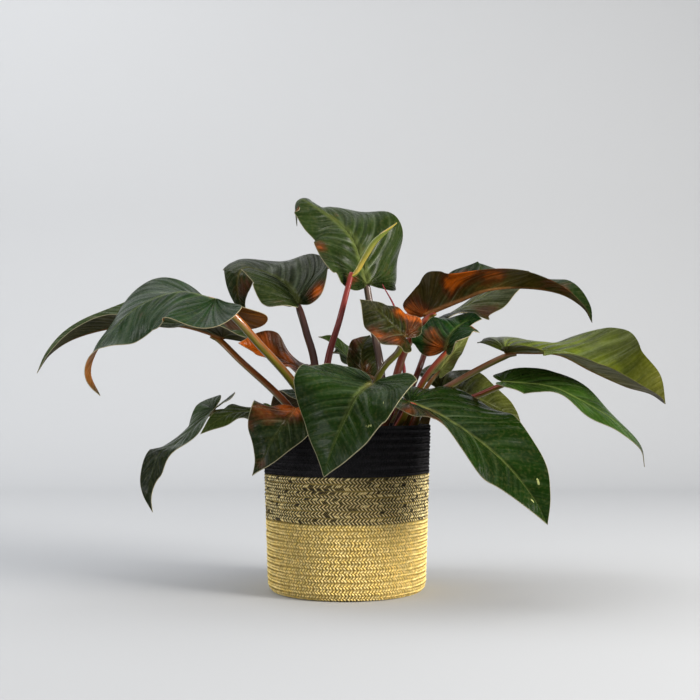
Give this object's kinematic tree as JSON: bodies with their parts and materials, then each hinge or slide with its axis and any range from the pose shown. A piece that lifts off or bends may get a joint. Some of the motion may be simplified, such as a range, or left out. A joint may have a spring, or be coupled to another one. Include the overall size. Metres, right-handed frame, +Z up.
{
  "type": "potted philodendron plant",
  "caption": "Imperial red philodendron with broad dark green and copper leaves on red stalks, in a plastic nursery pot inside a coiled rope basket with natural, mottled and black bands.",
  "frame": {"origin": "centre of the basket's round foot, on the floor it stands on", "axes": "+Z up along the basket's axis, +X to the right in the picture, and the picture is taken from -Y"},
  "size_m": [0.8056, 0.3897, 0.5078],
  "materials": {
    "rope_natural": "matte braided plant fibre",
    "rope_mottled": "matte braid, dark strands mixed with natural ones",
    "rope_black": "matte dyed braid",
    "pot_plastic": "matte moulded",
    "potting_mix": "crumbly bark and peat",
    "leaf_green": "waxy satin",
    "leaf_copper": "waxy satin",
    "leaf_young": "waxy satin",
    "stalk_red": "smooth satin",
    "stalk_brown": "smooth satin",
    "sheath": "thin, dry"
  },
  "bodies": {
    "root": {"basket_natural": "rope_natural", "basket_mottled": "rope_mottled", "basket_black": "rope_black", "nursery_pot": "pot_plastic", "soil": "potting_mix", "petiole_far_left": "stalk_brown", "blade_far_left": "leaf_green", "petiole_left": "stalk_red", "blade_left": "leaf_green", "petiole_upper_left": "stalk_brown", "blade_upper_left": "leaf_green", "petiole_top": "stalk_brown", "blade_top": "leaf_green", "petiole_upper_right": "stalk_red", "blade_upper_right": "leaf_copper", "petiole_back_right": "stalk_red", "blade_back_right": "leaf_green", "petiole_centre": "stalk_red", "blade_centre": "leaf_copper", "petiole_inner_right": "stalk_red", "blade_inner_right": "leaf_green", "petiole_right": "stalk_brown", "blade_right": "leaf_young", "petiole_lower_right": "stalk_red", "blade_lower_right": "leaf_green", "petiole_low_back_right": "stalk_red", "blade_low_back_right": "leaf_green", "petiole_front_right": "stalk_red", "blade_front_right": "leaf_green", "petiole_front": "stalk_red", "blade_front": "leaf_green", "petiole_front_left": "stalk_red", "blade_front_left": "leaf_copper", "petiole_low_left": "stalk_red", "blade_low_left": "leaf_green", "petiole_low_left_inner": "stalk_red", "blade_low_left_inner": "leaf_green", "petiole_mid_left": "stalk_red", "blade_mid_left": "leaf_copper", "petiole_young_right": "stalk_red", "blade_young_right": "leaf_young", "petiole_back_left": "stalk_red", "blade_back_left": "leaf_young", "petiole_back_arch": "stalk_red", "blade_back_arch": "leaf_green", "petiole_rear_left": "stalk_red", "blade_rear_left": "leaf_green", "petiole_rear_right": "stalk_red", "blade_rear_right": "leaf_green", "petiole_new_leaf": "stalk_red", "new_leaf": "leaf_young", "sheath": "sheath"}
  },
  "joints": []
}
